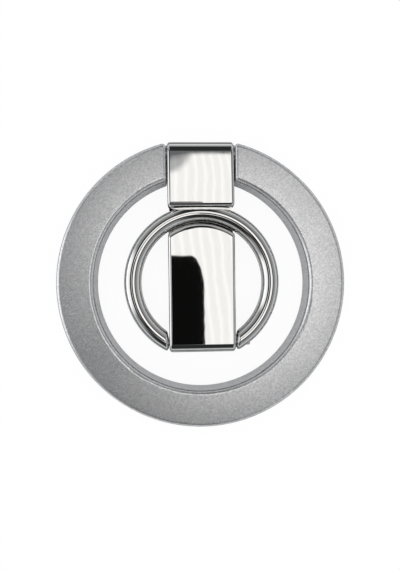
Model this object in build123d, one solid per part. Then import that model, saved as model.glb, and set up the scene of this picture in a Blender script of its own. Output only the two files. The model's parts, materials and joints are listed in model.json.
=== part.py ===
from build123d import *
import os
from math import cos, degrees, radians, sin, sqrt

# Phone ring holder, in millimetres.
# Origin: centre of the base ring on the face that lies on the phone. +Z points away from
# the phone and +Y from the ring's centre to the arm's hinge.

# Base ring
base_outer_radius = 28.0
base_width = 7.1
holder_height = 5.0
base_edge_radius = 0.85
base_end_radius = 0.6
base_back_chamfer = 0.25

# Back pad, a soft sheet let into the back of the base ring
pad_thickness = 0.6
pad_proud = 0.1
pad_rim_outer = 0.6
pad_rim_inner = 0.8
pad_clearance = 0.08

# Magnets and their steel yoke, in a channel that opens to the back
channel_outer_wall = 0.92
channel_half_gap_deg = 33.0
channel_clearance = 0.08
magnet_width = 4.0
magnet_height = 2.4
magnet_count = 16
magnet_spacing = 0.3
yoke_height = 0.6

# Arm
arm_width = 12.95
arm_back_gap = 0.4
arm_edge_radius = 0.6
arm_side_clearance = 0.22
arm_setback = 0.28
web_thickness = 1.1
nose_overhang = 0.2
groove_edge_radius = 0.95

# Hinge between base ring and arm
hinge_pin_radius = 1.0
hinge_pin_seat = 2.1
hinge_sleeve_wall = 0.3
hinge_washer_radius = 1.7

# Finger ring
ring_center_y = 0.26
ring_wire_radius = 1.68
ring_inner_radius = 11.82
ring_side_clearance = 0.28
ring_end_radius = 0.6
ring_flat_depth = 1.14
ring_to_shoulder = 0.5
ring_to_land = 0.42

# Hinge between arm and finger ring
ring_pin_radius = 0.65
ring_pin_seat = 1.3
ring_pin_drop = 0.14
ring_pin_recess = 0.2
ring_sleeve_wall = 0.22
ring_washer_radius = 1.15

# Shared by both hinges
sleeve_slit = 0.5
sleeve_end_gap = 0.4
running_clearance = 0.03
washer_thickness = 0.15
washer_bore_clearance = 0.05
pin_chamfer = 0.15

# Base ring, from the outside in and from the back to the front
base_inner_radius = base_outer_radius - base_width
channel_outer_radius = base_outer_radius - channel_outer_wall
magnet_outer_radius = channel_outer_radius - channel_clearance
magnet_inner_radius = magnet_outer_radius - magnet_width
channel_inner_radius = magnet_inner_radius - channel_clearance
magnet_top = pad_thickness + magnet_height
yoke_top = magnet_top + yoke_height

# Arm and its hinge
arm_half_width = arm_width / 2
gap_half_width = arm_half_width + arm_side_clearance
barrel_radius = (holder_height - arm_back_gap) / 2
arm_reach = base_outer_radius - arm_setback
hinge_y = arm_reach - barrel_radius
hinge_z = arm_back_gap + barrel_radius
hinge_bore_radius = hinge_pin_radius + running_clearance + hinge_sleeve_wall
sleeve_length = arm_width - 2 * sleeve_end_gap

# Finger ring, its hinge and its groove in the arm
ring_major_radius = ring_inner_radius + ring_wire_radius
ring_outer_radius = ring_major_radius + ring_wire_radius
ring_z = holder_height - ring_wire_radius
ring_end_x = arm_half_width + ring_side_clearance
ring_flat_y = ring_center_y + ring_outer_radius - ring_flat_depth
ring_pin_rise = sqrt(ring_major_radius**2 - ring_end_x**2) + ring_pin_drop
ring_pin_y = ring_center_y - ring_pin_rise
ring_bore_radius = ring_pin_radius + running_clearance + ring_sleeve_wall
shoulder_y = ring_flat_y + ring_to_shoulder
land_radius = ring_inner_radius - ring_to_land
web_top = arm_back_gap + web_thickness
nose_y = ring_pin_y - nose_overhang


def bar(radius, start_x, end_x, y, z):
    """A round bar along X."""
    turned = Plane(origin=(start_x, y, z), x_dir=(0, 1, 0), z_dir=(1, 0, 0))
    return extrude(turned * Circle(radius), amount=end_x - start_x)


def open_ring(inner_radius, outer_radius, half_gap, bottom, top):
    """A flat ring with a straight-sided gap on its +Y side."""
    gap = Pos(0, outer_radius) * Rectangle(2 * half_gap, 2 * outer_radius)
    outline = Circle(outer_radius) - Circle(inner_radius) - gap
    return extrude(Pos(0, 0, bottom) * outline, amount=top - bottom)


def sector(inner_radius, outer_radius, start_deg, end_deg, bottom, top):
    """A flat arc-shaped block, with its angles counted from +Y towards +X."""
    section = Plane.XZ * Pos((inner_radius + outer_radius) / 2, (bottom + top) / 2)
    profile = section * Rectangle(outer_radius - inner_radius, top - bottom)
    arc = revolve(profile, Axis.Z, end_deg - start_deg)
    return Rot(0, 0, 90 - end_deg) * arc


def gap_edges(body):
    """The edges of the base ring's two ends, apart from those on its back."""
    return [
        edge
        for edge in body.edges()
        if edge.bounding_box().size.X < base_end_radius / 100
        and edge.bounding_box().max.Z > holder_height / 2
    ]


def base_ring():
    body = open_ring(base_inner_radius, base_outer_radius, gap_half_width, pad_proud, holder_height)
    front_edges = body.edges().group_by(Axis.Z)[-1]
    body = fillet(front_edges.filter_by(GeomType.CIRCLE), base_edge_radius)
    body = fillet(gap_edges(body), base_end_radius)
    body = chamfer(body.edges().group_by(Axis.Z)[0], base_back_chamfer)
    body -= open_ring(
        base_inner_radius + pad_rim_inner,
        base_outer_radius - pad_rim_outer,
        gap_half_width + pad_rim_inner,
        0,
        pad_thickness,
    )
    body -= sector(
        channel_inner_radius,
        channel_outer_radius,
        channel_half_gap_deg,
        360 - channel_half_gap_deg,
        pad_thickness,
        yoke_top,
    )
    blind_end = -gap_half_width - hinge_pin_seat
    return body - bar(hinge_pin_radius, blind_end, base_outer_radius, hinge_y, hinge_z)


def back_pad():
    return open_ring(
        base_inner_radius + pad_rim_inner + pad_clearance,
        base_outer_radius - pad_rim_outer - pad_clearance,
        gap_half_width + pad_rim_inner + pad_clearance,
        0,
        pad_thickness,
    )


def channel_end_margin_deg():
    """The angle that the end clearance of the channel takes at the magnets' middle."""
    return degrees(magnet_spacing / (magnet_inner_radius + magnet_outer_radius))


def yoke_ring():
    start = channel_half_gap_deg + channel_end_margin_deg()
    return sector(magnet_inner_radius, magnet_outer_radius, start, 360 - start, magnet_top, yoke_top)


def magnet(index):
    pitch = (360 - 2 * channel_half_gap_deg) / magnet_count
    start = channel_half_gap_deg + index * pitch + channel_end_margin_deg()
    end = channel_half_gap_deg + (index + 1) * pitch - channel_end_margin_deg()
    return sector(magnet_inner_radius, magnet_outer_radius, start, end, pad_thickness, magnet_top)


def arm_blank():
    """The arm's side view, with a round barrel at each end, carried across its width."""
    low_angle = radians(45)
    lip_y = nose_y - ring_wire_radius * cos(low_angle)
    lip_z = ring_z - ring_wire_radius * sin(low_angle)
    heel_y = lip_y + (lip_z - arm_back_gap)
    outline = [
        ThreePointArc((hinge_y, holder_height), (arm_reach, hinge_z), (hinge_y, arm_back_gap)),
        Line((hinge_y, arm_back_gap), (heel_y, arm_back_gap)),
        Line((heel_y, arm_back_gap), (lip_y, lip_z)),
        ThreePointArc(
            (lip_y, lip_z), (nose_y - ring_wire_radius, ring_z), (nose_y, holder_height)
        ),
        Line((nose_y, holder_height), (hinge_y, holder_height)),
    ]
    return extrude(Plane.YZ * make_face(outline), amount=arm_half_width, both=True)


def ring_groove():
    """The room across the arm in which the folded finger ring lies."""
    length = shoulder_y - ring_center_y
    strip = Pos(0, ring_center_y + length / 2) * Rectangle(2 * arm_width, length)
    plan = strip - Pos(0, ring_center_y) * Circle(land_radius)
    return extrude(Pos(0, 0, web_top) * plan, amount=holder_height)


def arm():
    body = arm_blank() - ring_groove()
    front_edges = body.edges().group_by(Axis.Z)[-1]
    groove_edges = front_edges.filter_by_position(Axis.Y, ring_center_y, shoulder_y + arm_edge_radius)
    body = fillet(groove_edges, groove_edge_radius)
    side_edges = [
        edge
        for edge in body.edges()
        if edge.bounding_box().size.X < arm_edge_radius / 100
        and abs(edge.bounding_box().max.Z - web_top) > arm_edge_radius / 100
    ]
    body = fillet(side_edges, arm_edge_radius)
    body -= bar(hinge_bore_radius, -arm_width, arm_width, hinge_y, hinge_z)
    return body - bar(ring_bore_radius, -arm_width, arm_width, ring_pin_y, ring_z)


def hinge_pin():
    """Driven in from the right until its end lies inside the base ring's rounded wall."""
    left_end = -gap_half_width - hinge_pin_seat
    right_end = sqrt(base_outer_radius**2 - (hinge_y + hinge_pin_radius) ** 2)
    pin = bar(hinge_pin_radius, left_end, right_end, hinge_y, hinge_z)
    return chamfer(pin.edges().filter_by(GeomType.CIRCLE), pin_chamfer)


def ring_pin():
    """Driven in from the right, so its end shows on the ring's outer side."""
    left_end = -ring_end_x - ring_pin_seat
    right_end = sqrt(ring_outer_radius**2 - ring_pin_rise**2) - ring_pin_recess
    pin = bar(ring_pin_radius, left_end, right_end, ring_pin_y, ring_z)
    return chamfer(pin.edges().filter_by(GeomType.CIRCLE), pin_chamfer)


def friction_sleeve(pin_radius, wall, y, z):
    """A slit spring-steel tube that is tight in the arm and grips the pin."""
    inner_radius = pin_radius + running_clearance
    outer_radius = inner_radius + wall
    tube = bar(outer_radius, -sleeve_length / 2, sleeve_length / 2, y, z)
    tube -= bar(inner_radius, -arm_width, arm_width, y, z)
    slit = Pos(0, y, z - outer_radius) * Box(2 * arm_width, sleeve_slit, 2 * outer_radius)
    return tube - slit


def washer(pin_radius, outer_radius, inner_x, y, z):
    outer_x = inner_x + washer_thickness
    disc = bar(outer_radius, inner_x, outer_x, y, z)
    return disc - bar(pin_radius + washer_bore_clearance, inner_x, outer_x, y, z)


def finger_ring():
    ring = Pos(0, ring_center_y, ring_z) * Torus(ring_major_radius, ring_wire_radius)
    gap_length = 2 * ring_outer_radius
    gap_y = ring_center_y - gap_length / 2
    ring -= Pos(0, gap_y, ring_z) * Box(2 * ring_end_x, gap_length, 4 * ring_wire_radius)
    end_edges = [
        edge
        for edge in ring.edges()
        if edge.bounding_box().size.X < ring_end_radius / 100
        and abs(abs(edge.center().X) - ring_end_x) < ring_end_radius / 100
    ]
    ring = fillet(end_edges, ring_end_radius)
    flat_depth = ring_outer_radius
    ring -= Pos(0, ring_flat_y + flat_depth / 2, ring_z) * Box(
        2 * ring_outer_radius, flat_depth, 4 * ring_wire_radius
    )
    left_end = -ring_end_x - ring_pin_seat
    return ring - bar(ring_pin_radius, left_end, 2 * ring_outer_radius, ring_pin_y, ring_z)


parts = {
    "base_ring": base_ring(),
    "back_pad": back_pad(),
    "yoke_ring": yoke_ring(),
    "arm": arm(),
    "hinge_pin": hinge_pin(),
    "hinge_sleeve": friction_sleeve(hinge_pin_radius, hinge_sleeve_wall, hinge_y, hinge_z),
    "finger_ring": finger_ring(),
    "ring_pin": ring_pin(),
    "ring_sleeve": friction_sleeve(ring_pin_radius, ring_sleeve_wall, ring_pin_y, ring_z),
}
for index in range(magnet_count):
    parts[f"magnet_{index + 1:02d}"] = magnet(index)
for side, name in ((1, "right"), (-1, "left")):
    hinge_face = gap_half_width - washer_thickness if side > 0 else -gap_half_width
    ring_face = ring_end_x - washer_thickness if side > 0 else -ring_end_x
    parts[f"hinge_washer_{name}"] = washer(
        hinge_pin_radius, hinge_washer_radius, hinge_face, hinge_y, hinge_z
    )
    parts[f"ring_washer_{name}"] = washer(
        ring_pin_radius, ring_washer_radius, ring_face, ring_pin_y, ring_z
    )

os.makedirs("parts", exist_ok=True)
for name, shape in parts.items():
    export_step(shape, f"parts/{name}.step")
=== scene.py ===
# %% [markdown]
# # A folding ring for the back of a phone
# A satin C-shaped ring lies on the phone. A polished arm is hinged in its gap, and a polished
# finger ring is hinged at the arm's other end and folds into a groove in the arm.
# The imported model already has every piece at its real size, in metres, so nothing here is moved
# or resized. This lesson gives the pieces their finishes, makes finer meshes for the ones that
# need them, and sets up a small product studio around the object.

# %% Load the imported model
import json
import math

import bmesh
import bpy
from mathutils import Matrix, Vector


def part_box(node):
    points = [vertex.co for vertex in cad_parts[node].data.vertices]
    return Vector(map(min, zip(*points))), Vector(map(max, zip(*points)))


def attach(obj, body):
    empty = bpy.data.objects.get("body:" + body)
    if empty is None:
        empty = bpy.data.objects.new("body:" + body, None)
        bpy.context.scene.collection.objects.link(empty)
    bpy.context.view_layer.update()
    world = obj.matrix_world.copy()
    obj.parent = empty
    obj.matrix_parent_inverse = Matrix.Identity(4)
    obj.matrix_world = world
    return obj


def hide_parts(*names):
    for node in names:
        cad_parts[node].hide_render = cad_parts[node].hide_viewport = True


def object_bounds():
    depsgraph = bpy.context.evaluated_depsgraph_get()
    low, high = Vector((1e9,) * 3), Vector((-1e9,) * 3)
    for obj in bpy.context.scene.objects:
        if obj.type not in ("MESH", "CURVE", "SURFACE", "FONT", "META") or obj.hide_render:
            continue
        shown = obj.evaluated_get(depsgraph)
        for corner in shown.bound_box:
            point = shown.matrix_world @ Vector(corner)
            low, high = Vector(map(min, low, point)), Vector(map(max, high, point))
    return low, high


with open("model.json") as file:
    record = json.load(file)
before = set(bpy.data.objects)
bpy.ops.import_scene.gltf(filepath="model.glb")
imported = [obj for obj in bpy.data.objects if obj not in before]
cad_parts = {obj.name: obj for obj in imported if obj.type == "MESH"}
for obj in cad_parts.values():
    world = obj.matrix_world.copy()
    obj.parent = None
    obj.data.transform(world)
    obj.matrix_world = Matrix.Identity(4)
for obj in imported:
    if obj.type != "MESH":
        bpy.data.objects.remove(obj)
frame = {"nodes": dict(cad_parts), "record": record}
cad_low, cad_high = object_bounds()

MM = 0.001
nodes = frame["nodes"]
cad_size = (cad_high - cad_low) / MM
print(f"{len(nodes)} nodes, {cad_size.x:.1f} x {cad_size.y:.1f} x {cad_size.z:.1f} mm")

# %% [markdown]
# ## Helpers for materials
# Every finish below is one Principled shader fed by a few texture nodes. Wiring each node by hand
# would hide the few numbers that matter, so small helpers add a node with its settings, do sums,
# and turn a pattern into colour, roughness or bump. The patterns read Object coordinates: each
# piece sits at the origin, so these are real places on it, in metres, and a grain has a real size.

# %% Small helpers for node trees
COLOUR_A, COLOUR_B, COLOUR_RESULT = 6, 7, 2


def add_node(tree, kind, inputs=None, **settings):
    """A new node in a tree. Inputs are values, or other nodes' outputs to link."""
    node = tree.nodes.new(kind)
    for name, value in settings.items():
        setattr(node, name, value)
    for name, value in (inputs or {}).items():
        if isinstance(value, bpy.types.NodeSocket):
            tree.links.new(value, node.inputs[name])
        else:
            node.inputs[name].default_value = value
    return node


def calc(tree, operation, *values):
    """A Math node, with numbers or other outputs as its values."""
    inputs = dict(enumerate(values))
    return add_node(tree, "ShaderNodeMath", inputs, operation=operation).outputs[0]


def new_finish(name, **principled):
    """A material with one Principled shader, and the place on the piece that patterns read."""
    material = bpy.data.materials.new(name)
    material.use_nodes = True
    tree = material.node_tree
    shader = tree.nodes["Principled BSDF"]
    for socket, value in principled.items():
        shader.inputs[socket.replace("_", " ")].default_value = value
    place = tree.nodes.new("ShaderNodeTexCoord").outputs["Object"]
    return material, tree, shader, place


def grain(tree, place, size, detail=2.0):
    """Soft noise from 0 to 1 whose spots are about the given size."""
    settings = {"Vector": place, "Scale": 1 / size, "Detail": detail}
    return add_node(tree, "ShaderNodeTexNoise", settings).outputs[0]


def specks(tree, place, size):
    """Small cells of the given size, each with its own value from 0 to 1."""
    cells = add_node(tree, "ShaderNodeTexVoronoi", {"Vector": place, "Scale": 1 / size})
    return add_node(tree, "ShaderNodeSeparateColor", {0: cells.outputs["Color"]}).outputs[0]


def spread(tree, value, low, high):
    """The middle part of a pattern stretched between two values."""
    settings = {"Value": value, "From Min": 0.3, "From Max": 0.7, "To Min": low, "To Max": high}
    return add_node(tree, "ShaderNodeMapRange", settings).outputs[0]


def distance(tree, first, second):
    """The length of the way that goes first one way and then square to it."""
    squares = calc(tree, "MULTIPLY_ADD", first, first, calc(tree, "MULTIPLY", second, second))
    return calc(tree, "SQRT", squares)


def fade(tree, value, start, end):
    """0 before start, 1 after end, and a soft step between them."""
    settings = {"Value": value, "From Min": start, "From Max": end}
    return add_node(tree, "ShaderNodeMapRange", settings, interpolation_type="SMOOTHSTEP").outputs[0]


def mix_colours(tree, value, first, second):
    """The first colour at 0, the second at 1."""
    settings = {0: value, COLOUR_A: (*first, 1.0), COLOUR_B: (*second, 1.0)}
    return add_node(tree, "ShaderNodeMix", settings, data_type="RGBA").outputs[COLOUR_RESULT]


def tone(tree, shader, value, dark, light):
    """Base colour between two tones of the same finish."""
    tree.links.new(mix_colours(tree, value, dark, light), shader.inputs["Base Color"])


def roughen(tree, shader, value, low, high):
    """Roughness that follows a pattern."""
    tree.links.new(spread(tree, value, low, high), shader.inputs["Roughness"])


def raise_surface(tree, shader, height, depth):
    """Bump of a real depth from a pattern."""
    bump = add_node(tree, "ShaderNodeBump", {"Height": height, "Distance": depth})
    tree.links.new(bump.outputs[0], shader.inputs["Normal"])


# %% [markdown]
# ## Satin silver
# The base ring is blasted with fine beads before it is coated. Each bead leaves a dimple of about
# a fifth of a millimetre that catches the light a little differently from the next one, so the
# face is a soft silver with a fine sparkle. Roughness alone would give a smooth grey. Here small
# cells give each dimple its own tone, a fine bump tilts them, and a wide noise makes the
# roughness drift a little, as it does on a blasted part. The coating scatters some light too, so
# the finish is not quite all metal.

# %% Satin silver
BEAD_SIZE = 0.22 * MM
BEAD_DEPTH = 0.001 * MM


def satin_silver():
    finish, tree, shader, place = new_finish("satin_silver", Metallic=0.84)
    tone(tree, shader, specks(tree, place, BEAD_SIZE), (0.73, 0.74, 0.765), (0.975, 0.985, 1.0))
    roughen(tree, shader, grain(tree, place, 4.0 * MM), 0.255, 0.28)
    raise_surface(tree, shader, grain(tree, place, BEAD_SIZE, detail=3.0), BEAD_DEPTH)
    return finish


# %% [markdown]
# ## Polished chrome
# Arm and finger ring are zinc castings, polished by hand and plated. The plating is a mirror, but
# the casting under it is never quite flat, so reflections bend in slow waves.
# Low roughness makes the mirror. A wide, very shallow bump makes the waves, and a fine streaky
# noise adds the haze that polishing leaves.

# %% Polished chrome
def polished_chrome():
    finish, tree, shader, place = new_finish("polished_chrome", Metallic=1.0)
    squeeze = {"Vector": place, "Scale": (6.0, 1.0, 1.0)}
    polishing = add_node(tree, "ShaderNodeMapping", squeeze).outputs[0]
    streaks = grain(tree, polishing, 1.5 * MM, detail=4.0)
    tone(tree, shader, streaks, (0.86, 0.86, 0.855), (0.93, 0.93, 0.925))
    roughen(tree, shader, streaks, 0.015, 0.03)
    raise_surface(tree, shader, grain(tree, place, 3.5 * MM, detail=1.0), 0.004 * MM)
    return finish


# %% [markdown]
# ## Steel, nickel and silicone
# The pins are ground bright. Sleeves and washers are cut from spring strip with a bluish tint,
# the yoke is plain mild steel, and the magnets are nickel plated. They share one function, with
# the colour, the roughness and the size of the marks as its values.
# The back pad is dark silicone rubber, matt with a faint sheen and a skin of tiny pores.

# %% Steels, nickel and silicone
def plain_metal(name, dark, light, rough_low, rough_high, mark_size, depth):
    finish, tree, shader, place = new_finish(name, Metallic=1.0)
    marks = grain(tree, place, mark_size, detail=3.0)
    tone(tree, shader, marks, dark, light)
    roughen(tree, shader, marks, rough_low, rough_high)
    raise_surface(tree, shader, marks, depth)
    return finish


def pad_silicone():
    finish, tree, shader, place = new_finish("pad_silicone", Sheen_Weight=0.15)
    pores = grain(tree, place, 0.25 * MM, detail=3.0)
    tone(tree, shader, grain(tree, place, 5.0 * MM), (0.020, 0.021, 0.023), (0.036, 0.037, 0.039))
    roughen(tree, shader, pores, 0.55, 0.7)
    raise_surface(tree, shader, pores, 0.02 * MM)
    return finish


finishes = {
    "satin_silver": satin_silver(),
    "polished_chrome": polished_chrome(),
    "pad_silicone": pad_silicone(),
    "pin_steel": plain_metal(
        "pin_steel", (0.62, 0.62, 0.62), (0.74, 0.74, 0.73), 0.16, 0.26, 0.3 * MM, 0.002 * MM
    ),
    "spring_steel": plain_metal(
        "spring_steel", (0.42, 0.44, 0.48), (0.55, 0.56, 0.59), 0.24, 0.36, 0.4 * MM, 0.003 * MM
    ),
    "yoke_steel": plain_metal(
        "yoke_steel", (0.40, 0.40, 0.40), (0.52, 0.52, 0.51), 0.34, 0.48, 0.6 * MM, 0.004 * MM
    ),
    "magnet_nickel": plain_metal(
        "magnet_nickel", (0.58, 0.56, 0.52), (0.68, 0.66, 0.62), 0.18, 0.28, 0.5 * MM, 0.003 * MM
    ),
}
print("finishes:", ", ".join(finishes))

# %% [markdown]
# ## Finishes on the CAD pieces
# The record says which finish each node takes, so the script looks that up instead of listing the
# nodes again. A CAD node keeps its mesh: only its material slot changes.

# %% Give every CAD node its finish
for part in frame["record"]["subparts"]:
    slots = nodes[part["node"]].data.materials
    slots.clear()
    slots.append(finishes[part["material_slot"]])

# %% [markdown]
# ## From a node tree to a plain mesh
# Two of the pieces below follow a rule, so Geometry Nodes make them. Each tree's result is kept as a
# plain mesh and its modifiers go. The last helper counts open edges and works out the volume, which
# is negative when a mesh is inside out.

# %% Helpers for pieces
def new_tree(name, **inputs):
    """A geometry tree with named inputs, and the outputs of its group input."""
    tree = bpy.data.node_groups.new(name, "GeometryNodeTree")
    tree.interface.new_socket("Piece", in_out="OUTPUT", socket_type="NodeSocketGeometry")
    for socket, kind in inputs.items():
        socket_type = "NodeSocket" + kind
        tree.interface.new_socket(socket, in_out="INPUT", socket_type=socket_type)
    return tree, tree.nodes.new("NodeGroupInput").outputs


def end_tree(tree, geometry, finish):
    """Makes instances real, sets the material and joins the result to the output."""
    real = add_node(tree, "GeometryNodeRealizeInstances", {"Geometry": geometry}).outputs[0]
    painted = {"Geometry": real, "Material": finish}
    add_node(tree, "NodeGroupOutput", {0: add_node(tree, "GeometryNodeSetMaterial", painted).outputs[0]})
    return tree


def new_piece(name, mesh=None):
    piece = bpy.data.objects.new(name, mesh or bpy.data.meshes.new(name))
    bpy.context.scene.collection.objects.link(piece)
    return piece


def made_by_tree(name, tree, **sizes):
    """A new object with a tree as its modifier and these sizes as the tree's inputs."""
    piece = new_piece(name)
    modifier = piece.modifiers.new(name, "NODES")
    modifier.node_group = tree
    for item in tree.interface.items_tree:
        if item.in_out == "INPUT":
            modifier[item.identifier] = sizes[item.name]
    return piece


def round_edges(piece, radius, segments=3):
    bevel = piece.modifiers.new("round_edges", "BEVEL")
    bevel.width = radius
    bevel.segments = segments
    bevel.limit_method = "ANGLE"


def keep_as_mesh(piece):
    """Replaces an object's mesh and modifiers by the evaluated mesh, and says what it is."""
    bpy.context.view_layer.update()
    evaluated = piece.evaluated_get(bpy.context.evaluated_depsgraph_get())
    mesh = bpy.data.meshes.new_from_object(evaluated)
    mesh.name = piece.name
    piece.modifiers.clear()
    piece.data = mesh
    check = bmesh.new()
    check.from_mesh(mesh)
    open_edges = sum(1 for edge in check.edges if not edge.is_manifold)
    volume = check.calc_volume(signed=True) / MM**3
    check.free()
    mesh.calc_loop_triangles()
    triangles = len(mesh.loop_triangles)
    print(f"{piece.name}: {triangles} triangles, {open_edges} open edges, {volume:.1f} mm3")


def stands_for(piece, body, slot, *cad_nodes):
    """The piece moves with a body and shows in place of CAD nodes. The slot is not used."""
    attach(piece, body)
    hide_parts(*cad_nodes)


# %% [markdown]
# ## The finger ring
# The real ring is a round rod with rounded ends, bent into a C, with a flat ground on its top so
# that it clears the arm's shoulder. Its shape follows a rule: a flat grid, as many points long as
# the rod and as many wide as its circumference, is rolled up and bent by one Set Position node.
# The bend is sheared towards the ends, so both end faces stand square to the arm's pin. A mirror
# shows every flaw in a mesh, and this grid is as even as a mesh can be.

# %% Sizes of the finger ring, from the frame
RING_CENTRE_Y = 0.26 * MM
ring_low, ring_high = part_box("finger_ring")
wire_radius = (ring_high.z - ring_low.z) / 2
wire_height = (ring_high.z + ring_low.z) / 2
bend_radius = (ring_high.x - ring_low.x) / 2 - wire_radius
ring_end_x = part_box("ring_washer_right")[1].x
flat_distance = ring_high.y - RING_CENTRE_Y
print(f"wire {2 * wire_radius / MM:.2f} mm thick, bent to {bend_radius / MM:.2f} mm")

# %% The tree that bends a rod into a C
FLAT_EDGE = 0.08 * MM
WELD_DISTANCE = 0.004 * MM


def bent_rod_tree():
    tree, given = new_tree("bent_rod", **{
        "Wire Radius": "Float",
        "Bend Radius": "Float",
        "End Distance": "Float",
        "End Rounding": "Float",
        "Flat Distance": "Float",
        "Rows": "Int",
        "Columns": "Int",
        "Rounding Rows": "Int",
        "Centre": "Vector",
        "Finish": "Material",
    })

    # A grid with one unit between its points: X counts rows from the middle, Y columns.
    last_row = calc(tree, "SUBTRACT", given["Rows"], 1)
    last_column = calc(tree, "SUBTRACT", given["Columns"], 1)
    grid = add_node(tree, "GeometryNodeMeshGrid", {
        "Size X": last_row,
        "Size Y": last_column,
        "Vertices X": given["Rows"],
        "Vertices Y": given["Columns"],
    })
    position = tree.nodes.new("GeometryNodeInputPosition").outputs[0]
    cell = add_node(tree, "ShaderNodeSeparateXYZ", {0: position}).outputs
    half_rows = calc(tree, "DIVIDE", last_row, 2)
    from_end = calc(tree, "SUBTRACT", half_rows, calc(tree, "ABSOLUTE", cell["X"]))
    around = calc(tree, "MULTIPLY", calc(tree, "DIVIDE", cell["Y"], last_column), math.tau)

    # Radius: the first row closes the end to a point, the next ones round its edge.
    rounding = given["End Rounding"]
    share = calc(tree, "DIVIDE", calc(tree, "SUBTRACT", from_end, 1), given["Rounding Rows"])
    share = calc(tree, "MINIMUM", calc(tree, "MAXIMUM", share, 0), 1)
    turn = calc(tree, "MULTIPLY", share, math.pi / 2)
    cap_radius = calc(tree, "SUBTRACT", given["Wire Radius"], rounding)
    radius = calc(tree, "MULTIPLY_ADD", calc(tree, "SINE", turn), rounding, cap_radius)
    radius = calc(tree, "MULTIPLY", radius, calc(tree, "MINIMUM", from_end, 1))

    # Place along the rod, from 0 at its end to 1 at its middle.
    first_plain = calc(tree, "ADD", given["Rounding Rows"], 1)
    plain_rows = calc(tree, "SUBTRACT", half_rows, first_plain)
    plain = calc(tree, "MAXIMUM", calc(tree, "SUBTRACT", from_end, first_plain), 0)
    plain = calc(tree, "DIVIDE", plain, plain_rows)
    end_share = calc(tree, "DIVIDE", given["End Distance"], given["Bend Radius"])
    half_turn = calc(tree, "SUBTRACT", math.pi, calc(tree, "ARCSINE", end_share))
    half_length = calc(tree, "MULTIPLY", half_turn, given["Bend Radius"])
    lead = calc(tree, "MULTIPLY", calc(tree, "SUBTRACT", 1, calc(tree, "COSINE", turn)), rounding)
    plain_length = calc(tree, "SUBTRACT", half_length, rounding)
    along = calc(tree, "DIVIDE", calc(tree, "MULTIPLY_ADD", plain, plain_length, lead), half_length)

    # Bend: each point turns about the ring's centre, from the flat end face to the top.
    reach = calc(tree, "MULTIPLY_ADD", calc(tree, "COSINE", around), radius, given["Bend Radius"])
    start = calc(tree, "ARCSINE", calc(tree, "DIVIDE", given["End Distance"], reach))
    angle = calc(tree, "MULTIPLY_ADD", calc(tree, "SUBTRACT", math.pi, start), along, start)
    aside = calc(tree, "MULTIPLY", reach, calc(tree, "SINE", angle))
    x = calc(tree, "MULTIPLY", aside, calc(tree, "SIGN", cell["X"]))
    y = calc(tree, "MULTIPLY", calc(tree, "MULTIPLY", reach, calc(tree, "COSINE", angle)), -1)
    y = calc(tree, "SMOOTH_MIN", y, given["Flat Distance"], FLAT_EDGE)
    z = calc(tree, "MULTIPLY", calc(tree, "SINE", around), radius)

    bent = add_node(tree, "ShaderNodeCombineXYZ", {"X": x, "Y": y, "Z": z}).outputs[0]
    placed = add_node(tree, "ShaderNodeVectorMath", {0: bent, 1: given["Centre"]}, operation="ADD")
    rolled = {"Geometry": grid.outputs["Mesh"], "Position": placed.outputs[0]}
    rod = add_node(tree, "GeometryNodeSetPosition", rolled).outputs[0]
    weld = {"Geometry": rod, "Distance": WELD_DISTANCE}
    closed = add_node(tree, "GeometryNodeMergeByDistance", weld).outputs[0]
    smooth = add_node(tree, "GeometryNodeSetShadeSmooth", {"Geometry": closed}).outputs[0]
    return end_tree(tree, smooth, given["Finish"])


rod_tree = bent_rod_tree()
print("bent_rod tree:", len(rod_tree.nodes), "nodes")

# %% Bend the ring
finger_ring = made_by_tree("bent_finger_ring", rod_tree, **{
    "Wire Radius": wire_radius,
    "Bend Radius": bend_radius,
    "End Distance": ring_end_x,
    "End Rounding": 0.6 * MM,
    "Flat Distance": flat_distance,
    "Rows": 401,
    "Columns": 97,
    "Rounding Rows": 8,
    "Centre": (0.0, RING_CENTRE_Y, wire_height),
    "Finish": finishes["polished_chrome"],
})
print("ring ends", f"{2 * ring_end_x / MM:.2f} mm apart")

# %% [markdown]
# ## The pin's hole
# The ring is drilled after bending, from the right: through its right end and blind into its left
# one. A Boolean with a drill-shaped bar does the same. The bar takes its place from the pin's box.
# Its rim is a sharp edge on a smooth mesh, so edges above an angle are marked sharp afterwards.

# %% Drill the ring for its pin
DRILL_SIDES = 48
SHARP_ANGLE = math.radians(40)


def drill_bar(low, high):
    """A bar along X with the round of a pin's box, long enough to come out on the right."""
    radius = (high.y - low.y) / 2
    right = high.x + 2 * radius
    bar = bmesh.new()
    rims = []
    for x in (low.x, right):
        rim = []
        for step in range(DRILL_SIDES):
            turn = math.tau * step / DRILL_SIDES
            y = (low.y + high.y) / 2 + radius * math.cos(turn)
            z = (low.z + high.z) / 2 + radius * math.sin(turn)
            rim.append(bar.verts.new((x, y, z)))
        rims.append(rim)
    left_rim, right_rim = rims
    bar.faces.new(left_rim)
    bar.faces.new(reversed(right_rim))
    for step in range(DRILL_SIDES):
        after = (step + 1) % DRILL_SIDES
        bar.faces.new((left_rim[after], left_rim[step], right_rim[step], right_rim[after]))
    bmesh.ops.recalc_face_normals(bar, faces=bar.faces)
    mesh = bpy.data.meshes.new("drill_bar")
    bar.to_mesh(mesh)
    bar.free()
    return new_piece("drill_bar", mesh)


drill = drill_bar(*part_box("ring_pin"))
hole = finger_ring.modifiers.new("pin_hole", "BOOLEAN")
hole.object = drill
hole.operation = "DIFFERENCE"
hole.solver = "EXACT"
keep_as_mesh(finger_ring)
finger_ring.data.set_sharp_from_angle(angle=SHARP_ANGLE)
bpy.data.objects.remove(drill)
stands_for(finger_ring, "loop", "polished_chrome", "finger_ring")

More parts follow.
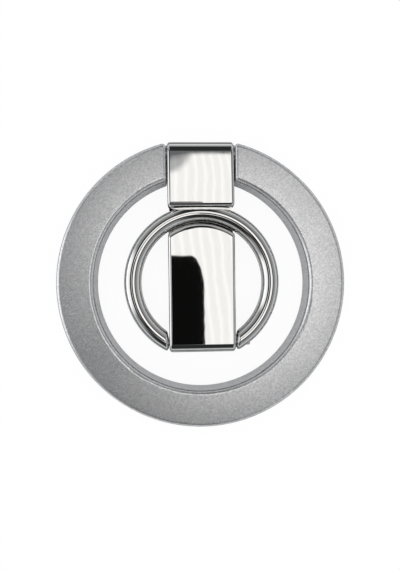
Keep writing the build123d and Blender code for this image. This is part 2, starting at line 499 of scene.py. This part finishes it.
# %% [markdown]
# ## The magnets
# Sixteen curved magnets stand in a row in the base ring's channel, all alike. That is what
# instances are for: one block is bent to the channel's curve, and the tree sets it round the ring.
# The angles and radii are measured on the first two CAD magnets, so they fit the channel.

# %% Measure the CAD magnets
MAGNET_COUNT = 16


def reach_of(node):
    """The smallest and largest distance of a node's points from the ring's middle."""
    reaches = [vertex.co.xy.length for vertex in nodes[node].data.vertices]
    return min(reaches), max(reaches)


def turn_of(node):
    """The first and last angle of a node, counted from +Y towards +X."""
    turns = [math.atan2(vertex.co.x, vertex.co.y) for vertex in nodes[node].data.vertices]
    return min(turns), max(turns)


magnet_nodes = [f"magnet_{number:02d}" for number in range(1, MAGNET_COUNT + 1)]
magnet_inner, magnet_outer = reach_of(magnet_nodes[0])
magnet_start, magnet_end = turn_of(magnet_nodes[0])
magnet_pitch = turn_of(magnet_nodes[1])[0] - magnet_start
magnet_low, magnet_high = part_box(magnet_nodes[0])
print(f"magnets every {math.degrees(magnet_pitch):.2f} degrees, {magnet_inner / MM:.1f} mm out")

# %% The tree that sets magnets round a ring
MAGNET_STEPS = 9


def between(tree, share, low, high):
    """The value at a share of the way from low to high, with shares from -0.5 to 0.5."""
    settings = {"Value": share, "From Min": -0.5, "From Max": 0.5, "To Min": low, "To Max": high}
    return add_node(tree, "ShaderNodeMapRange", settings).outputs[0]


def magnet_row_tree():
    tree, given = new_tree("magnet_row", **{
        "Inner Radius": "Float",
        "Outer Radius": "Float",
        "Bottom": "Float",
        "Top": "Float",
        "First Angle": "Float",
        "Sweep": "Float",
        "Pitch": "Float",
        "Count": "Int",
        "Finish": "Material",
    })
    cube = {"Size": (1.0, 1.0, 1.0), "Vertices X": MAGNET_STEPS}
    block = add_node(tree, "GeometryNodeMeshCube", cube).outputs["Mesh"]
    position = tree.nodes.new("GeometryNodeInputPosition").outputs[0]
    cell = add_node(tree, "ShaderNodeSeparateXYZ", {0: position}).outputs
    angle = between(tree, cell["X"], 0.0, given["Sweep"])
    radius = between(tree, cell["Y"], given["Inner Radius"], given["Outer Radius"])
    x = calc(tree, "MULTIPLY", radius, calc(tree, "SINE", angle))
    y = calc(tree, "MULTIPLY", radius, calc(tree, "COSINE", angle))
    z = between(tree, cell["Z"], given["Bottom"], given["Top"])
    curved = add_node(tree, "ShaderNodeCombineXYZ", {"X": x, "Y": y, "Z": z}).outputs[0]
    magnet = add_node(tree, "GeometryNodeSetPosition", {"Geometry": block, "Position": curved}).outputs[0]

    places = add_node(tree, "GeometryNodeMeshLine", {"Count": given["Count"], "Offset": (0.0, 0.0, 0.0)})
    index = tree.nodes.new("GeometryNodeInputIndex").outputs[0]
    turn = calc(tree, "MULTIPLY_ADD", index, given["Pitch"], given["First Angle"])
    turned = add_node(tree, "ShaderNodeCombineXYZ", {"Z": calc(tree, "MULTIPLY", turn, -1)}).outputs[0]
    rotation = add_node(tree, "FunctionNodeEulerToRotation", {0: turned}).outputs[0]
    copies = {"Points": places.outputs[0], "Instance": magnet, "Rotation": rotation}
    row = add_node(tree, "GeometryNodeInstanceOnPoints", copies).outputs[0]
    return end_tree(tree, row, given["Finish"])


# %% Make the row of magnets
MAGNET_EDGE_RADIUS = 0.12 * MM

magnets = made_by_tree("magnet_row", magnet_row_tree(), **{
    "Inner Radius": magnet_inner,
    "Outer Radius": magnet_outer,
    "Bottom": magnet_low.z,
    "Top": magnet_high.z,
    "First Angle": magnet_start,
    "Sweep": magnet_end - magnet_start,
    "Pitch": magnet_pitch,
    "Count": MAGNET_COUNT,
    "Finish": finishes["magnet_nickel"],
})
round_edges(magnets, MAGNET_EDGE_RADIUS, segments=2)
keep_as_mesh(magnets)
stands_for(magnets, "base", "magnet_nickel", *magnet_nodes)

# %% [markdown]
# ## The back pad
# The pad is cut from silicone sheet and glued into a recess, so only a tenth of a millimetre of it
# stands out of the metal. Cut rubber has soft edges, so it gets a mesh of its own: four points in
# each row, rows all round the C, and a Bevel. The C's ends are straight, so on each radius the
# rows start at their own angle.

# %% Measure and cut the pad
PAD_ROWS = 181
PAD_EDGE_RADIUS = 0.12 * MM

pad_low, pad_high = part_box("back_pad")
pad_inner, pad_outer = reach_of("back_pad")
pad_half_gap = min(abs(v.co.x) for v in nodes["back_pad"].data.vertices if v.co.y > 0)


def c_point(radius, share, height):
    """A point on a C-shaped path, from its right end at share 0 to its left end at 1."""
    start = math.asin(pad_half_gap / radius)
    turn = start + share * (math.tau - 2 * start)
    return radius * math.sin(turn), radius * math.cos(turn), height


def pad_mesh():
    sheet = bmesh.new()
    rows = []
    for row in range(PAD_ROWS):
        share = row / (PAD_ROWS - 1)
        corners = [
            c_point(pad_inner, share, pad_low.z),
            c_point(pad_outer, share, pad_low.z),
            c_point(pad_outer, share, pad_high.z),
            c_point(pad_inner, share, pad_high.z),
        ]
        rows.append([sheet.verts.new(corner) for corner in corners])
    for here, after in zip(rows, rows[1:]):
        for corner in range(4):
            beside = (corner + 1) % 4
            sheet.faces.new((here[corner], after[corner], after[beside], here[beside]))
    sheet.faces.new(rows[0])
    sheet.faces.new(reversed(rows[-1]))
    bmesh.ops.recalc_face_normals(sheet, faces=sheet.faces)
    mesh = bpy.data.meshes.new("silicone_pad")
    sheet.to_mesh(mesh)
    sheet.free()
    mesh.materials.append(finishes["pad_silicone"])
    return mesh


pad = new_piece("silicone_pad", pad_mesh())
round_edges(pad, PAD_EDGE_RADIUS)
keep_as_mesh(pad)
stands_for(pad, "base", "pad_silicone", "back_pad")

# %% [markdown]
# ## The floor
# The object lies on its pad on plain paper. A little emission for the rays that show the background
# takes the paper from pale grey to white. The rest of the floor's brightness is real light, so the
# object's soft shadow stays. Mirrors and glass show the same white paper as the camera does.
# Paper deep in a narrow gap gets no light, so ambient occlusion takes the emission away there.

# %% Floor
FLOOR_SIZE = 3.0
FLOOR_GAP = 0.02 * MM
PAPER = 0.9
PAPER_SEEN = 0.1
PAPER_GLOW = 0.92
GAP_REACH = 1.5 * MM
GAP_DARK, GAP_OPEN = 0.05, 0.35


def shows_background(tree):
    """1 for the rays that show the background: seen directly, in a mirror or through glass."""
    light_path = tree.nodes.new("ShaderNodeLightPath").outputs
    seen = calc(tree, "MAXIMUM", light_path["Is Camera Ray"], light_path["Is Glossy Ray"])
    return calc(tree, "MAXIMUM", seen, light_path["Is Transmission Ray"])


def floor_paper():
    matt = {"Roughness": 1.0, "Specular_IOR_Level": 0.0, "Emission_Color": (1.0, 1.0, 1.0, 1.0)}
    paper, tree, shader, _ = new_finish("floor_paper", **matt)
    seen = shows_background(tree)
    albedo = calc(tree, "MULTIPLY_ADD", seen, PAPER_SEEN - PAPER, PAPER)
    tree.links.new(albedo, shader.inputs["Base Color"])
    nearby = add_node(tree, "ShaderNodeAmbientOcclusion", {"Distance": GAP_REACH}).outputs["AO"]
    unshaded = fade(tree, nearby, GAP_DARK, GAP_OPEN)
    glow = calc(tree, "MULTIPLY", calc(tree, "MULTIPLY", seen, PAPER_GLOW), unshaded)
    tree.links.new(glow, shader.inputs["Emission Strength"])
    return paper


def stage_piece(name, points, faces, material):
    """A piece of the studio from its points and faces."""
    mesh = bpy.data.meshes.new(name)
    mesh.from_pydata(points, [], faces)
    mesh.materials.append(material)
    piece = new_piece(name, mesh)
    return piece


half_floor = FLOOR_SIZE / 2
floor_height = cad_low.z - FLOOR_GAP
floor_corners = [
    (-half_floor, -half_floor, floor_height),
    (half_floor, -half_floor, floor_height),
    (half_floor, half_floor, floor_height),
    (-half_floor, half_floor, floor_height),
]
stage_piece("floor", floor_corners, [range(4)], floor_paper())
print(f"floor {FLOOR_SIZE:.1f} m wide, {FLOOR_GAP / MM:.2f} mm below the pad")

# %% [markdown]
# ## A shaded sheet under the object
# On white paper the edge of a chrome rod mirrors the paper and melts into it. A sheet of painted
# shade lies under the object, again in reflections only: its grey rings are the floor's shadow,
# painted. It is dark beside the finger ring, which draws a thin dark line round the rod, and pale grey
# where the satin walls mirror it.

# %% Shaded sheet
SHEET_RADIUS = 60.0 * MM
SHEET_POINTS = 96
# Painted shade: each distance from the middle with the grey level painted there.
SHEET_SHADE_LEVELS = (
    (0.0 * MM, 0.95),
    (10.5 * MM, 0.90),
    (12.0 * MM, 0.04),
    (16.5 * MM, 0.04),
    (18.5 * MM, 0.80),
    (26.0 * MM, 0.70),
    (28.0 * MM, 0.35),
    (32.0 * MM, 0.60),
    (42.0 * MM, 0.05),
)


def only_in_mirrors(piece):
    """Hides a piece of the studio from everything but reflections."""
    piece.visible_camera = False
    piece.visible_diffuse = False
    piece.visible_transmission = False
    piece.visible_shadow = False


# The sheet's colour is painted shade, a grey level for each distance from the middle.
def painted_floor_shade():
    paper, tree, shader, place = new_finish("painted_floor_shade", Roughness=1.0, Specular_IOR_Level=0.0)
    reach = add_node(tree, "ShaderNodeVectorMath", {0: place}, operation="LENGTH").outputs["Value"]
    share = calc(tree, "DIVIDE", reach, SHEET_RADIUS)
    ramp = add_node(tree, "ShaderNodeValToRGB", {"Fac": share})
    stops = ramp.color_ramp.elements
    stops.remove(stops[1])
    stops[0].position = 0.0
    for distance, level in SHEET_SHADE_LEVELS:
        stop = stops[0] if distance == 0.0 else stops.new(distance / SHEET_RADIUS)
        stop.color = (level, level, level, 1.0)
    tree.links.new(ramp.outputs["Color"], shader.inputs["Base Color"])
    return paper


sheet_points = []
for step in range(SHEET_POINTS):
    turn = math.tau * step / SHEET_POINTS
    sheet_points.append((SHEET_RADIUS * math.cos(turn), SHEET_RADIUS * math.sin(turn), floor_height / 2))
sheet = stage_piece("shaded_sheet", sheet_points, [range(SHEET_POINTS)], painted_floor_shade())
only_in_mirrors(sheet)
print(f"shaded sheet {2 * SHEET_RADIUS / MM:.0f} mm across, {len(SHEET_SHADE_LEVELS)} rings")

# %% [markdown]
# ## The light tent
# Polished metal has no look of its own: it shows the room. Here the room is an oval cloth panel
# overhead with soft folds, and a black card on its left front part, which gives the arm its dark
# half. The satin ring blurs what it mirrors, so it just gets brighter towards the panel's middle.
# A dome painted with light stands for panel, card and walls: every point of it gets its brightness
# from its direction, so no lamp has to be placed.
# Directions are given as slopes: how far to the right, or to the back, for each step up.

# %% The cloth panel
PANEL_LIGHT = 0.99
PANEL_RIGHT, PANEL_BACK = 0.092, 0.007
PANEL_HALF_WIDTH, PANEL_HALF_DEPTH = 0.39, 0.355
PANEL_SOFTNESS = 0.05
BACK_EDGE, BACK_EDGE_SOFTNESS = 0.352, 0.008
SHADE_RIGHT, SHADE_BACK = -0.05, 0.36
SHADE_INNER, SHADE_OUTER = 0.04875, 0.07475
SHADE_DEPTH = 0.55
SPILL_LIGHT = 0.14
SPILL_INNER, SPILL_OUTER = 1.06, 1.16


def cloth_panel(tree, right, back):
    """1 on the oval panel and 0 off it, and the light that it spills on the cloth beside it."""
    aside = calc(tree, "DIVIDE", calc(tree, "SUBTRACT", right, PANEL_RIGHT), PANEL_HALF_WIDTH)
    ahead = calc(tree, "DIVIDE", calc(tree, "SUBTRACT", back, PANEL_BACK), PANEL_HALF_DEPTH)
    oval = distance(tree, aside, ahead)
    panel = fade(tree, oval, 1 + PANEL_SOFTNESS, 1 - PANEL_SOFTNESS)
    spill = calc(tree, "MULTIPLY", fade(tree, oval, SPILL_OUTER, SPILL_INNER), SPILL_LIGHT)

    # The back edge is cut straight, and one of its corners is shaded.
    straight = fade(tree, back, BACK_EDGE + BACK_EDGE_SOFTNESS, BACK_EDGE - BACK_EDGE_SOFTNESS)
    panel = calc(tree, "MULTIPLY", panel, straight)
    shade_x = calc(tree, "SUBTRACT", right, SHADE_RIGHT)
    shade_y = calc(tree, "SUBTRACT", back, SHADE_BACK)
    shade = fade(tree, distance(tree, shade_x, shade_y), SHADE_OUTER, SHADE_INNER)
    panel = calc(tree, "MULTIPLY", panel, calc(tree, "MULTIPLY_ADD", shade, -SHADE_DEPTH, 1.0))
    return panel, spill


print(f"panel reaches {PANEL_RIGHT + PANEL_HALF_WIDTH:.2f} to the right for each step up")

# %% The folds in the cloth
FOLD_LIGHT = 0.11
FOLD_PITCH = 0.0265
FOLD_LEAN = 0.10
FOLD_SHARPNESS = 2.5
WANDER, WANDER_SIZE = 0.07, 0.25


def cloth_folds(tree, direction, right, back):
    """A bright line on each fold, nearly straight from front to back."""
    wander = grain(tree, direction, WANDER_SIZE, detail=1.0)
    lean = calc(tree, "MULTIPLY_ADD", wander, WANDER, right)
    lean = calc(tree, "MULTIPLY_ADD", back, FOLD_LEAN, lean)
    wave = calc(tree, "SINE", calc(tree, "MULTIPLY", lean, math.tau / FOLD_PITCH))
    return calc(tree, "POWER", calc(tree, "MULTIPLY_ADD", wave, 0.5, 0.5), FOLD_SHARPNESS)


print(f"about {2 * PANEL_HALF_WIDTH / FOLD_PITCH:.0f} folds across the panel")

# %% The black card
CARD_LEFT, CARD_RIGHT = -0.22, 0.048
CARD_FRONT, CARD_BACK = -0.225, 0.064
CARD_ROUND_X, CARD_ROUND_Y = 0.042, 0.09
CARD_SOFTNESS = 0.025
CORNER_SOFTNESS = 0.03
CARD_LIGHT = 0.004


def black_card(tree, right, back):
    """1 on the card: sharp on the right and at the back, with one rounded corner, soft elsewhere."""
    past_x = calc(tree, "MAXIMUM", calc(tree, "SUBTRACT", right, CARD_RIGHT - CARD_ROUND_X), 0.0)
    past_y = calc(tree, "MAXIMUM", calc(tree, "SUBTRACT", back, CARD_BACK - CARD_ROUND_Y), 0.0)
    corner_x = calc(tree, "DIVIDE", past_x, CARD_ROUND_X)
    corner_y = calc(tree, "DIVIDE", past_y, CARD_ROUND_Y)
    card = fade(tree, distance(tree, corner_x, corner_y), 1 + CORNER_SOFTNESS, 1 - CORNER_SOFTNESS)
    soft_left = fade(tree, right, CARD_LEFT - CARD_SOFTNESS, CARD_LEFT + CARD_SOFTNESS)
    soft_front = fade(tree, back, CARD_FRONT - CARD_SOFTNESS, CARD_FRONT + CARD_SOFTNESS)
    return calc(tree, "MULTIPLY", card, calc(tree, "MULTIPLY", soft_left, soft_front))


print(f"card {CARD_RIGHT - CARD_LEFT:.3f} wide and {CARD_BACK - CARD_FRONT:.3f} deep, as slopes")

# %% [markdown]
# ## The tent's walls
# Below the panel the tent has grey walls. They are dark high up in front and behind, which gives
# the barrels their dark side, and lighter low down. A window on the left draws a bright line along
# the rounded edges. How far a direction leans from straight up decides where each part begins.

# %% The walls
LEAST_RISE = 0.02
WALL_LIGHT = 0.23
WINDOW_LIGHT = 0.75
HORIZON_LIGHT = 0.29
DARK_WALL = 0.02
FRONT_X, FRONT_Y = -0.22, -0.97
FRONT_EDGE = (0.76, 0.92)
BEHIND_EDGE = (0.93, 0.985)
HIGH_EDGE = (0.97, 0.85)
WINDOW_EDGE = (-0.86, -0.97)
HORIZON_EDGE = (0.84, 0.98)
WALL_TOP = (0.50, 0.68)


def tent_walls(tree, toward):
    height_square = calc(tree, "MULTIPLY", toward["Z"], toward["Z"])
    flat = calc(tree, "SQRT", calc(tree, "SUBTRACT", 1.0, height_square))
    length = calc(tree, "MAXIMUM", flat, LEAST_RISE)
    sideways = calc(tree, "DIVIDE", toward["X"], length)
    backward = calc(tree, "DIVIDE", toward["Y"], length)
    forward = calc(tree, "MULTIPLY_ADD", sideways, FRONT_X, calc(tree, "MULTIPLY", backward, FRONT_Y))
    front = fade(tree, forward, *FRONT_EDGE)
    behind = fade(tree, backward, *BEHIND_EDGE)
    shut = calc(tree, "MULTIPLY", calc(tree, "MAXIMUM", front, behind), fade(tree, flat, *HIGH_EDGE))
    window = fade(tree, sideways, *WINDOW_EDGE)
    bright = calc(tree, "MULTIPLY_ADD", window, WINDOW_LIGHT, WALL_LIGHT)
    bright = calc(tree, "MULTIPLY_ADD", fade(tree, flat, *HORIZON_EDGE), HORIZON_LIGHT, bright)
    wall = calc(tree, "MULTIPLY", bright, calc(tree, "SUBTRACT", 1.0, shut))
    return calc(tree, "MULTIPLY_ADD", wall, fade(tree, flat, *WALL_TOP), DARK_WALL)


print(f"walls at {WALL_LIGHT}, window at {WALL_LIGHT + WINDOW_LIGHT:.2f}")

# %% Light tent
TENT_RADIUS = 0.6
TENT_RINGS = 24
TENT_SECTORS = 64
WARM, COOL = (1.0, 0.98, 0.955), (0.975, 0.988, 1.0)


def tent_cloth():
    cloth, tree, _, place = new_finish("tent_cloth")
    direction = add_node(tree, "ShaderNodeVectorMath", {0: place}, operation="NORMALIZE").outputs[0]
    toward = add_node(tree, "ShaderNodeSeparateXYZ", {0: direction}).outputs
    rise = calc(tree, "MAXIMUM", toward["Z"], LEAST_RISE)
    right = calc(tree, "DIVIDE", toward["X"], rise)
    back = calc(tree, "DIVIDE", toward["Y"], rise)

    panel, spill = cloth_panel(tree, right, back)
    folds = cloth_folds(tree, direction, right, back)
    lit = calc(tree, "MULTIPLY", panel, calc(tree, "MULTIPLY_ADD", folds, FOLD_LIGHT, PANEL_LIGHT))
    light = calc(tree, "MAXIMUM", calc(tree, "MAXIMUM", lit, spill), tent_walls(tree, toward))
    uncovered = calc(tree, "SUBTRACT", 1.0, black_card(tree, right, back))
    light = calc(tree, "MULTIPLY_ADD", light, uncovered, CARD_LIGHT)

    paint = {"Color": mix_colours(tree, panel, COOL, WARM), "Strength": light}
    emission = add_node(tree, "ShaderNodeEmission", paint)
    tree.links.new(emission.outputs[0], tree.nodes["Material Output"].inputs["Surface"])
    return cloth


def tent_mesh():
    points = []
    faces = []
    for ring in range(TENT_RINGS + 1):
        rise = math.pi / 2 * ring / TENT_RINGS
        for sector in range(TENT_SECTORS):
            turn = math.tau * sector / TENT_SECTORS
            flat = TENT_RADIUS * math.cos(rise)
            points.append((flat * math.cos(turn), flat * math.sin(turn), TENT_RADIUS * math.sin(rise)))
    for ring in range(TENT_RINGS):
        for sector in range(TENT_SECTORS):
            here = ring * TENT_SECTORS + sector
            beside = ring * TENT_SECTORS + (sector + 1) % TENT_SECTORS
            faces.append((here, beside, beside + TENT_SECTORS, here + TENT_SECTORS))
    return points, faces


tent = stage_piece("light_tent", *tent_mesh(), tent_cloth())
only_in_mirrors(tent)
print(f"light tent {2 * TENT_RADIUS:.1f} m across")

# %% [markdown]
# ## The world
# Matt pieces and the floor are lit by an even white sky, like the cloth of a tent on all sides.
# Where the camera looks past the floor, the sky is plain white paper too.

# %% World
SOFT_LIGHT = 0.85


def studio_world():
    world = bpy.data.worlds.new("studio")
    world.use_nodes = True
    tree = world.node_tree
    level = calc(tree, "MULTIPLY_ADD", shows_background(tree), 1.0 - SOFT_LIGHT, SOFT_LIGHT)
    tree.links.new(level, tree.nodes["Background"].inputs["Color"])
    return world


bpy.context.scene.world = studio_world()
print("sky at", SOFT_LIGHT, "and white where it is seen")

# %% [markdown]
# ## The camera
# The photograph was taken close by, from almost straight above: the ring's inner wall shows all
# round. The camera stands a few millimetres to the left and is turned back by about two degrees,
# which is why the arm looks slightly off centre. The Standard view keeps white paper white.

# %% Camera
CAMERA_LEFT = 3.33 * MM
CAMERA_BACK = 1.24 * MM
CAMERA_HEIGHT = 81.6 * MM
CAMERA_TURNS = (-1.10, -2.18, -0.73)
CAMERA_LENS = 25.146
CAMERA_NEAREST = 5 * MM

camera_data = bpy.data.cameras.new("camera")
camera_data.lens = CAMERA_LENS
camera_data.clip_start = CAMERA_NEAREST
camera = bpy.data.objects.new("camera", camera_data)
camera.location = (-CAMERA_LEFT, CAMERA_BACK, CAMERA_HEIGHT)
camera.rotation_euler = [math.radians(turn) for turn in CAMERA_TURNS]
bpy.context.scene.collection.objects.link(camera)
bpy.context.scene.camera = camera
bpy.context.scene.view_settings.view_transform = "Standard"
print(f"camera {CAMERA_HEIGHT / MM:.1f} mm above the phone's face")
